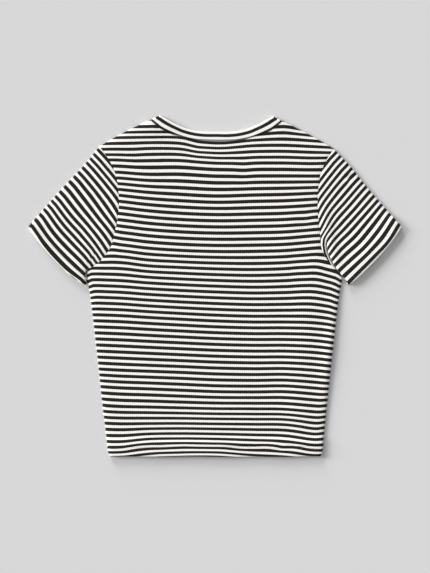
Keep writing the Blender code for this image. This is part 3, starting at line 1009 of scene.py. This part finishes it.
def make_front():
    """The front's cloth, and its flat area. Its columns run the other way, so its faces look down."""
    bm, across, level, drop, turned = panel_grid(FRONT_ROWS, FRONT_COLUMN)
    x, down = panel_place(-across, level, FRONT_BASE, front_top)
    peek = UNDERARM_PEEK.size * np.exp(-(((down - UNDERARM_PEEK.middle) / UNDERARM_PEEK.reach) ** 2))
    x -= peek * (x < -HALF_CHEST)
    outer, to_armhole = panel_distances(x, down)
    height = drop + curl_down(outer, to_armhole) * (drop < FOLD_RADIUS)
    place, level = laid(x, down)
    stripe = body_stripes(place, level + turned - edge_hook(place, level, outer))
    shape_grid(bm, place, level, height, rib=x / RIB_PITCH, stripe=stripe, shade=x * 0)
    return finish_cloth("front_cloth", bm, body_knit)


front, front_area = make_front()
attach(front, "root")
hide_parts("front_panel")
print("front:", len(front.data.polygons), "faces,", round(front_area, 3), "square metres")

# %% [markdown]
# ## Sleeves
#
# A sleeve is one piece, folded along the top of the arm and sewn at the underarm. Its ribs run from
# shoulder to cuff, so its places are `along`, from the cuff up, and `across`, from the fold to the
# underarm. The grid runs from the lower layer's edge, round the fold, to the upper layer's edge.

# %% Sleeve cut
CUFF_OUTER, CUFF_UNDER = np.array((293.7, 171.7)), np.array((206.0, 263.0))
CUFF_WIDTH = float(np.linalg.norm(CUFF_UNDER - CUFF_OUTER))
ACROSS = (CUFF_UNDER - CUFF_OUTER) / CUFF_WIDTH
ALONG = np.array((-ACROSS[1], ACROSS[0]))
Cuff = namedtuple("Cuff", "fold middle seam")
CUFF_REACH = {-1: Cuff(2.2, 7.5, 3.4), 1: Cuff(2.2, 8.4, 3.6)}
CUFF_ROUND, ROUND_REACH = 2.2, 3
BOW_REACH = 60.0
SLEEVE_PLACES = (4, 35, 65, 95, 116)
Drift = namedtuple("Drift", "along fold upper middle lower underarm")
SLEEVE_COUNT = {
    "sleeve_left": rows_of(
        Count,
        (-33, -3), (-3.6, 0), (29.3, 3), (66.9, 7), (86.6, 9), (107.6, 11), (128.4, 13),
        (145.7, 15), (164.5, 17),
    ),
    "sleeve_right": rows_of(
        Count,
        (-33, -3), (-0.8, 0), (20.6, 2), (37.9, 3.5), (54, 5), (81.8, 8), (102.2, 10.5),
        (123.2, 13), (139.3, 15), (156.1, 17),
    ),
}
SLEEVE_SLIDE = {
    "sleeve_left": rows_of(
        Drift,
        (-20, 5.7, 1.4, 0, 0.8, 3.8),
        (-3, 5.7, 1.4, 0, 0.8, 3.8),
        (15, 6.2, 1.0, 0, 1.1, 1.2),
        (30, 5.1, 0.8, 0, -0.1, -1.9),
        (58, 4.0, 0.8, 0, -3.1, -7),
        (88, 7.3, 3.8, 0, -2.8, -6.6),
        (100, 7.2, 4.4, 0, -4.0, -8.5),
        (118, 5.7, 3.6, 0, -7.3, -11.6),
        (133, 5.4, 3.4, 0, -7.7, -11.5),
        (150, 5.5, 3.4, 0, -6.7, -10.7),
    ),
    "sleeve_right": rows_of(
        Drift,
        (-20, 6.5, 0, 0, 0.5, 1.0),
        (0, 6.5, 0, 0, 0.5, 1.0),
        (15, 7.5, 1.9, 0, 1.5, 3.0),
        (32, 6.0, 2.4, 0, 2.1, 2.8),
        (55, 2.1, 0.9, 0, 0.4, -2.4),
        (73, 2.5, 0.8, 0, -1.7, -6.4),
        (91, 3.3, 1.6, 0, -7.9, -12.8),
        (107, 5.5, 3.9, 0, -8.7, -14.7),
        (124, 6.9, 4.2, 0, -10.1, -16.2),
        (150, 8.6, 5.2, 0, -9.4, -15.5),
    ),
}
OWN_LEAN_OUT = (208, 250)
CREASE = rows_of(
    Place,
    (184.5, 177.5), (178.3, 185.0), (174.3, 193.0), (172.9, 202.0), (174.7, 213.0),
    (180.5, 226.2), (187.1, 237.8), (195.5, 247.7),
)
CREASE_BENDS, CREASE_SINKS, CREASE_ENDS = (176, 204), (184, 202), (248, 253)


def crease(x, down):
    """(Distance, bend, depth) of the crease beside the right armhole; above 0 is towards the body."""
    across = np.interp(down, [p.down for p in CREASE], [p.out for p in CREASE])
    off = distance(x, down, CREASE) * np.where(x < across, 1, -1)
    end = 1 - smoothstep(*CREASE_ENDS, down)
    return off, smoothstep(*CREASE_BENDS, down) * end, smoothstep(*CREASE_SINKS, down) * end


def own_lean(out):
    """How far to the right the end of a sleeve lies, apart from the body's lean."""
    return SLEEVE_LEAN * smoothstep(*OWN_LEAN_OUT, out)


def to_sleeve(out, down):
    """(Along, across) on a sleeve of a place in the shirt."""
    x, y = out - CUFF_OUTER[0], down - CUFF_OUTER[1]
    return x * ALONG[0] + y * ALONG[1], x * ACROSS[0] + y * ACROSS[1]


def bowed(along, across, side):
    """Cuffs bow outwards with rounded corners, and the cloth above them follows less and less."""
    share = np.clip(across / CUFF_WIDTH, 0, 1)
    c = CUFF_REACH[side]
    reach = c.fold + (c.seam - c.fold) * share
    reach += (c.middle - (c.fold + c.seam) / 2) * 4 * share * (1 - share)
    ends = np.exp(-share * CUFF_WIDTH / ROUND_REACH) + np.exp(-(1 - share) * CUFF_WIDTH / ROUND_REACH)
    return along - (reach - CUFF_ROUND * ends) * np.maximum(0, 1 - along / BOW_REACH) ** 2


def from_sleeve(along, across):
    """(Out, down) in the shirt of a place on a sleeve."""
    return (
        CUFF_OUTER[0] + along * ALONG[0] + across * ACROSS[0],
        CUFF_OUTER[1] + along * ALONG[1] + across * ACROSS[1],
    )


seam_downs = np.linspace(ARMHOLE[0].down, ARMHOLE[-1].down, 2 * ARMHOLE_STEPS)
SEAM_ALONG, SEAM_ACROSS = to_sleeve(armhole_out(seam_downs), seam_downs)
TIP_ALONG, TIP_ACROSS = to_sleeve(ARMHOLE[0].out, ARMHOLE[0].down)
print("sleeve:", round(TIP_ALONG), "mm along,", round(CUFF_WIDTH), "mm across at the cuff")


# %% [markdown]
# The right sleeve has a soft crease beside its armhole, where the stripes turn to run along it, and
# each sleeve has one small fold that its stripes step over.

# %% Crease and small folds
CREASE_STRIPE, CREASE_PITCH, CREASE_SOFT = 7.3, 6.0, 0.7
# How dark the shade painted in the crease is, its width, and the groove's depth.
CREASE_PAINTED_SHADE, CREASE_WIDTH, CREASE_DEPTH = 0.85, 1.1, 1.0
# A small fold's dark is shade painted along it.
Fold = namedtuple("Fold", "x down turn long wide jog dark")
SMALL_FOLDS = {
    "sleeve_left": (Fold(-196, 222, 128, 11, 3.0, 0.16, 0.2),),
    "sleeve_right": (Fold(208.5, 95, 104, 10, 3.2, 0.24, 0.3),),
}


def small_folds(x, down, folds):
    """(Stripe jog, painted shade) of small folds: stripes step sideways across one, and shade is
    painted along its edge.
    """
    jog, dark = np.zeros(np.shape(x)), np.zeros(np.shape(x))
    for fold in folds:
        along, across = turned_places(x, down, fold)
        near = np.exp(-(along**2) - across**2)
        jog += fold.jog * across * near
        dark += fold.dark * near * np.exp(-3 * across**2)
    return jog, dark


def sleeve_stripes(name, x, down, along, across, is_upper):
    """(Stripe, painted shade, depth) of a sleeve's points: its stripes, its small fold and the crease.
    """
    stripe = stripe_count(across, along, SLEEVE_PLACES, SLEEVE_SLIDE[name], SLEEVE_COUNT[name])
    jog, shade = small_folds(x, down, SMALL_FOLDS[name])
    stripe += jog * is_upper
    if name != "sleeve_right":
        return stripe, shade, np.zeros(np.shape(x))
    off, bent, sunk = crease(x, down)
    bent, sunk = bent * is_upper, sunk * is_upper
    turned = bent * smoothstep(-CREASE_SOFT, CREASE_SOFT, off)
    stripe += (CREASE_STRIPE + off / CREASE_PITCH - stripe) * turned
    # Shade painted dark along the bottom of the crease.
    shade += CREASE_PAINTED_SHADE * np.exp(-((off / CREASE_WIDTH) ** 2)) * sunk
    return stripe, shade, CREASE_DEPTH * np.exp(-((off / (2 * CREASE_WIDTH)) ** 2)) * sunk


print("crease:", len(CREASE), "places, small folds on:", sorted(SMALL_FOLDS))

# %% [markdown]
# The columns of a sleeve's grid run across the lower layer, round the fold and back over the upper
# layer. The cuffs' rows turn under as the hem's do. The left cuff's lower layer shows a little below
# its upper one, and the left underarm is a little fuller.

# %% Make the sleeves
SLEEVE_START, SLEEVE_ROW, CUFF_ROW = 0.6, 2.6, 2.0
SLEEVE_MIDDLE, CUFF_TOP, CUFF_LAST = 20, 19, 2
LOWER_COLUMN, UPPER_START = 8.0, -16
FOLD_REACH, FOLD_POWER, LEAST_WIDTH = 3.0, 1.6, 0.1
CUFF_PEEK, CUFF_PEEK_UP = Peek(1.6, 104, 14), 40
UNDERARM_FULL, FULL_REACH = 1.8, 4
BLEND_SHOULDER, BLEND_LESS, BLEND_DOWN = 70, 50, (222, 250)


def sleeve_end(along):
    """How far across the sleeve reaches: to the armhole, and below it to the underarm seam."""
    low = SEAM_ALONG[-1]
    seam = np.interp(along, SEAM_ALONG[::-1], SEAM_ACROSS[::-1])
    under = CUFF_WIDTH + (SEAM_ACROSS[-1] - CUFF_WIDTH) * np.clip(along / low, 0, 1)
    return np.where(along > low, seam, under)


def cuff_height(along):
    """Height of a sleeve's upper face: two layers of cloth, and two more over the turned cuff."""
    rise = TURNED * smoothstep(CUFF_DEPTH + CUFF_SLOPE, CUFF_DEPTH + 1, along)
    return STACK + rise - groove(along + HEM_DEPTH - CUFF_DEPTH)


def sleeve_grid():
    """A sleeve's flat grid: row places, wanted places across, angles round the fold, and layers."""
    start = float(SEAM_ALONG[0]) - SLEEVE_START
    rows = run_rows((Run(start, SLEEVE_MIDDLE, -SLEEVE_ROW), Run(CUFF_TOP, CUFF_LAST, -CUFF_ROW)))
    rows += [-place for place in fold_rows(0.0, CUFF_DEPTH)]
    lower = np.arange(CUFF_WIDTH, 0, -LOWER_COLUMN)
    fold = np.linspace(0, np.pi, FOLD_STEPS)
    upper = np.arange(UPPER_START, CUFF_WIDTH + 1, FINE_COLUMN)
    bm, column, row = flat_grid(len(lower) + len(fold) + len(upper), len(rows))
    wanted = np.concatenate((lower, fold * 0, upper))[column]
    angle = np.concatenate((lower * 0, fold, upper * 0))[column]
    is_lower = column < len(lower)
    is_fold = ~is_lower & (column < len(lower) + len(fold))
    return bm, np.array(rows)[row], wanted, angle, is_lower, is_fold


def sleeve_across(along, wanted, angle, is_fold, side):
    """Places across a sleeve, kept between its fold and its seam."""
    fold_at = TIP_ACROSS * along / TIP_ALONG
    below = np.maximum(0, SEAM_ALONG[-1] - along)
    full = UNDERARM_FULL * (1 - np.exp(-below / FULL_REACH)) * (side < 0)
    end = np.maximum(sleeve_end(along) + full, fold_at + FOLD_REACH + LEAST_WIDTH)
    flat_across = np.clip(wanted, fold_at + FOLD_REACH, end)
    return np.where(is_fold, fold_at + FOLD_REACH * (1 - np.sin(angle)) ** FOLD_POWER, flat_across)


def cuff_peek(along, across):
    """How far the lower layer of the left cuff shows below the upper one."""
    near = np.exp(-(((across - CUFF_PEEK.middle) / CUFF_PEEK.reach) ** 2))
    return CUFF_PEEK.size * near * np.maximum(0, 1 - along / CUFF_PEEK_UP)


def sleeve_distances(out, down):
    """Distance of each place from the fold or underarm, from the underarm, and from the armhole."""
    fold_line = np.array([from_sleeve(0.0, 0.0), from_sleeve(TIP_ALONG, TIP_ACROSS)])
    to_under = distance(out, down, np.array((ARMHOLE_LINE[-1], CUFF_UNDER)))
    outer = np.minimum(distance(out, down, fold_line), to_under)
    return outer, to_under, distance(out, down, ARMHOLE_LINE)


def make_sleeve(name, side):
    """A sleeve's cloth, and its flat area; side is -1 at the left and 1 at the right."""
    bm, placed, wanted, angle, is_lower, is_fold = sleeve_grid()
    level, drop = turn_under(-placed, 0.0, CUFF_DEPTH)
    along = -level
    across = sleeve_across(along, wanted, angle, is_fold, side)
    real = bowed(along, across, side) - cuff_peek(along, across) * is_lower * (side < 0)
    out, down = from_sleeve(real, across)
    outer, to_under, to_armhole = sleeve_distances(out, down)
    blend = BLEND_SHOULDER - BLEND_LESS * smoothstep(*BLEND_DOWN, down)
    place, level = laid(side * out, down, own_lean(out), smoothstep(0, 1, to_armhole / blend))
    rise = AIR + swelling(place, level, SLEEVE_SWELLS[name])
    rib = across / RIB_PITCH
    curl = curl_down(to_under, to_armhole)
    top = cuff_height(along) + rise * puff(outer, to_armhole)
    top_face = top - drop - curl + raised_ribs(rib, np.minimum(outer, to_armhole), drop)
    low_face = drop + curl
    round_fold = low_face + (top - drop - low_face) * (1 - np.cos(angle)) / 2
    height = np.where(is_lower, low_face, np.where(is_fold, round_fold, top_face))
    run, width = to_sleeve(side * place, level)
    run = np.where(placed < FOLD_RADIUS, real + placed - along, run)
    stripe, shade, depth = sleeve_stripes(name, place, level, run, width, ~(is_lower | is_fold))
    shape_grid(bm, place, level, height - depth, rib=rib, stripe=stripe, shade=shade)
    face_up(bm)
    return finish_cloth(name + "_cloth", bm, body_knit)


sleeves, sleeve_areas = [], []
for name, side in (("sleeve_left", -1), ("sleeve_right", 1)):
    sleeve, area = make_sleeve(name, side)
    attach(sleeve, "root")
    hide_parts(name)
    sleeves.append(sleeve)
    sleeve_areas.append(area)
    print(name, len(sleeve.data.polygons), "faces,", round(area, 4), "square metres")

# %% [markdown]
# ## Neckband
#
# The neckband is a strip of the same rib, folded in half along its length and sewn into a ring. Laid
# flat it turns over at each shoulder, from the back on top to the front underneath. A grid is rolled
# into a ring twice over: once round the neck and once round the strip's own thickness.

# %% Neckband
BAND_FOLD_HALF, BAND_SEAM_HALF = 87.6, 99.4
BAND_FOLD = rows_of(
    Place,
    (0, 23.2), (20, 23.1), (30, 22.2), (40, 20.3), (50, 17.6), (60, 13.4), (70, 8.7), (80, 3.1),
    (84, 1.0), (BAND_FOLD_HALF, -0.3),
)
BAND_ABOVE_SEAM = 0.1
BAND_FRONT_FOLD_DROP = 84.2
BAND_HALF = TURNED / 2
BAND_WIDTH = 12.5
BAND_SAG, SAG_FADES = 1.1, (0.45, 0.84)
BAND_LONGER = 1.06
BACK_STATIONS, TURN_STATIONS, FRONT_STATIONS = 241, 13, 73
Stripe = namedtuple("Stripe", "share middle width")
BAND_STRIPES = (
    Stripe(0.0, 5.9, 4.8),
    Stripe(0.7, 6.2, 5.2),
    Stripe(0.9, 6.4, 5.7),
    Stripe(1.0, 5.7, 6.2),
)
Path = namedtuple("Path", "share tilt")


def band_path():
    """Stations round the neck: share of the half width, and how far the band has turned over."""
    back = np.linspace(-1, 1, BACK_STATIONS)
    turn = np.linspace(0, np.pi, TURN_STATIONS)[1:-1]
    front = np.sin(np.linspace(np.pi / 2, -np.pi / 2, FRONT_STATIONS))
    share = np.concatenate((back, turn * 0 + 1, front, turn * 0 - 1, back[:1]))
    tilt = np.concatenate((back * 0, turn, front * 0 + np.pi, turn[::-1], back[:1] * 0))
    return Path(share, tilt)


OUTER_WIDTHS = (1.0, 0.97, 0.9, 0.75, 0.6, 0.45, 0.3, 0.18)
INNER_WIDTHS = (0.3, 0.6, 0.9, 1.0)
BAND_RIB_END = 0.9


def band_section():
    """Places across the folded strip, from its outer seam edge round the fold to its inner one."""
    outer = [(width, 1.0) for width in OUTER_WIDTHS]
    turn = np.linspace(0, np.pi, FOLD_STEPS)
    share = BAND_HALF / BAND_WIDTH
    fold = [(share * (1 - math.sin(angle)), math.cos(angle)) for angle in turn]
    inner = [(width, -1.0) for width in INNER_WIDTHS]
    return np.array(outer + fold + inner)


def band_edges(share, is_back):
    """Fold edge and seam edge of the band at each station."""
    size = np.abs(share)
    drop = 1 - size**FRONT_NECK_POWER
    fold_x, seam_x = BAND_FOLD_HALF * share, BAND_SEAM_HALF * share
    front_fold = BAND_FOLD[-1].down + BAND_FRONT_FOLD_DROP * drop
    fold_down = np.where(is_back, read(fold_x, BAND_FOLD), front_fold)
    seam_down = np.where(is_back, back_top(seam_x), front_top(seam_x)) - BAND_ABOVE_SEAM
    return (fold_x, fold_down), (seam_x, seam_down)


def band_stripe(share, from_fold):
    """The band's stripe number: its one black stripe runs near the fold, wider at the shoulders."""
    shares = [stripe.share for stripe in BAND_STRIPES]
    middle = np.interp(np.abs(share), shares, [stripe.middle for stripe in BAND_STRIPES])
    width = np.interp(np.abs(share), shares, [stripe.width for stripe in BAND_STRIPES])
    return np.clip((from_fold - middle) / (2 * width), -0.5, 0.5)


def make_neckband():
    """The neckband's cloth, and its flat area."""
    path, section = band_path(), band_section()
    bm, column, row = flat_grid(len(path.share), len(section))
    share, tilt = path.share[column], path.tilt[column]
    width, side = section[row].T
    (fold_x, fold_down), (seam_x, seam_down) = band_edges(share, is_back=tilt < np.pi / 2)
    size = np.hypot(seam_x - fold_x, seam_down - fold_down)
    away_x = np.sign(share) * (seam_down - fold_down) / size
    away_down = -np.abs(seam_x - fold_x) / size
    sag = BAND_SAG * (1 - smoothstep(*SAG_FADES, np.abs(share))) * (tilt == 0)
    radius = (TURNED + GAP) / 2
    middle = BAND_HALF + radius * (1 + np.cos(tilt)) - sag
    rib = share * BAND_SEAM_HALF * BAND_LONGER / RIB_PITCH
    raised = smoothstep(0.5, 1.0, side) * smoothstep(1.0, BAND_RIB_END, width) * (tilt == 0)
    thick = BAND_HALF * side + RIB_HEIGHT * rib_wave(rib) * raised
    shift = radius * np.sin(tilt) + thick * np.sin(tilt)
    x = fold_x + (seam_x - fold_x) * width + away_x * shift
    down = fold_down + (seam_down - fold_down) * width + away_down * shift
    stripe = band_stripe(share, width * size)
    height = middle + thick * np.cos(tilt)
    shape_grid(bm, *laid(x, down), height, rib=rib, stripe=stripe, shade=x * 0)
    face_up(bm)
    return finish_cloth("neckband_cloth", bm, band_knit)


band, band_area = make_neckband()
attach(band, "root")
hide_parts("neckband")
print("neckband:", len(band.data.polygons), "faces,", round(band_area, 4), "square metres")

# %% [markdown]
# ## Stitches
#
# A sewing machine with two needles holds up the hem and the cuffs. Its dark thread shows only where
# it crosses the white stripes. Each stitch is a small bead of thread, laid on the cloth that it
# holds: a ray cast down, or up on the hidden side, finds the cloth's face.

# %% Stitches
STITCH_PITCH, STITCH_LONG, THREAD = 3.2, 2.5, 0.23
STITCH_SINK, HIDDEN_RISE = 0.06, 0.04
HEM_INSET, CUFF_START, CUFF_INSET = 3, 4, 2
THREAD_GREY = (0.030, 0.028, 0.026, 1)
THREAD_BUMP = {"Strength": 0.4, "Distance": 0.05 * MM}
THREAD_GLOSS = {"Roughness": 0.55, "Specular IOR Level": 0.35}
BEAD_SEGMENTS, BEAD_RINGS = 8, 5


def make_thread():
    """Dark cotton thread, with the yarn group's own tone."""
    material, n, shader = new_material("dark thread", THREAD_GLOSS)
    yarn = group_node(n, YARN, share=1.0, black=THREAD_GREY)
    add_bump(n, yarn.outputs["Fibre"], THREAD_BUMP, shader)
    n.join(yarn.outputs["Color"], shader.inputs["Base Color"])
    return material


def cloth_tree(piece):
    """A search tree of a piece's faces, for casting rays at it."""
    points = [vert.co for vert in piece.data.vertices]
    return BVHTree.FromPolygons(points, [list(face.vertices) for face in piece.data.polygons])


def sew(bm, tree, x, down, up):
    """Lays stitches along a row of places, on the cloth's upper (1) or lower (-1) face."""
    for ax, ad, bx, bd in zip(x, down, x[1:], down[1:]):
        middle = Vector(((ax + bx) / 2, LENGTH / 2 - (ad + bd) / 2, 0)) * MM
        run = Vector((bx - ax, ad - bd, 0)).normalized()
        hit, normal, _, _ = tree.ray_cast(middle + Vector((0, 0, up)), Vector((0, 0, -up)))
        if hit is None:
            continue
        side = normal.cross(run).normalized()
        turn = Matrix((side.cross(normal).normalized(), side, normal)).transposed().to_4x4()
        size = Matrix.Diagonal((STITCH_LONG / 2 * MM, THREAD * MM, THREAD * MM, 1))
        sunk = STITCH_SINK if up > 0 else THREAD - HIDDEN_RISE
        place = Matrix.Translation(hit - normal * sunk * MM)
        bead = place @ turn @ size
        bmesh.ops.create_uvsphere(
            bm, u_segments=BEAD_SEGMENTS, v_segments=BEAD_RINGS, radius=1, matrix=bead
        )


def finish_stitches(name, bm):
    """An object of a row of stitches, which goes with the shirt."""
    for face in bm.faces:
        face.smooth = True
    piece = link_mesh(name, bm)
    piece.data.materials.append(thread)
    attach(piece, "root")
    print(name, len(piece.data.polygons), "faces")
    return piece


def hem_stitches(name, cloth, up):
    """Twin rows of stitches along a hem."""
    bm = bmesh.new()
    tree = cloth_tree(cloth)
    for row in STITCH_ROWS:
        x = np.arange(-HEM_HALF + HEM_INSET, HEM_HALF - HEM_INSET, STITCH_PITCH)
        sew(bm, tree, *laid(x, x * 0 + LENGTH - row), up)
    return finish_stitches(name, bm)


def cuff_stitches(name, cloth, side):
    """Twin rows of stitches along a cuff, on its upper and lower layer."""
    bm = bmesh.new()
    tree = cloth_tree(cloth)
    across = np.arange(CUFF_START, CUFF_WIDTH - CUFF_INSET, STITCH_PITCH)
    for row in STITCH_ROWS:
        along = across * 0 + row - (HEM_DEPTH - CUFF_DEPTH)
        out, down = from_sleeve(bowed(along, across, side), across)
        x, level = laid(side * out, down, own_lean(out), 1.0)
        for up in (1, -1):
            sew(bm, tree, x, level, up)
    return finish_stitches(name, bm)


thread = make_thread()
back_sewing = hem_stitches("back_hem_stitches", back, 1)
front_sewing = hem_stitches("front_hem_stitches", front, -1)
cuff_sewing = [
    cuff_stitches(name + "_stitches", sleeve, side)
    for name, sleeve, side in zip(("cuff_left", "cuff_right"), sleeves, (-1, 1))
]
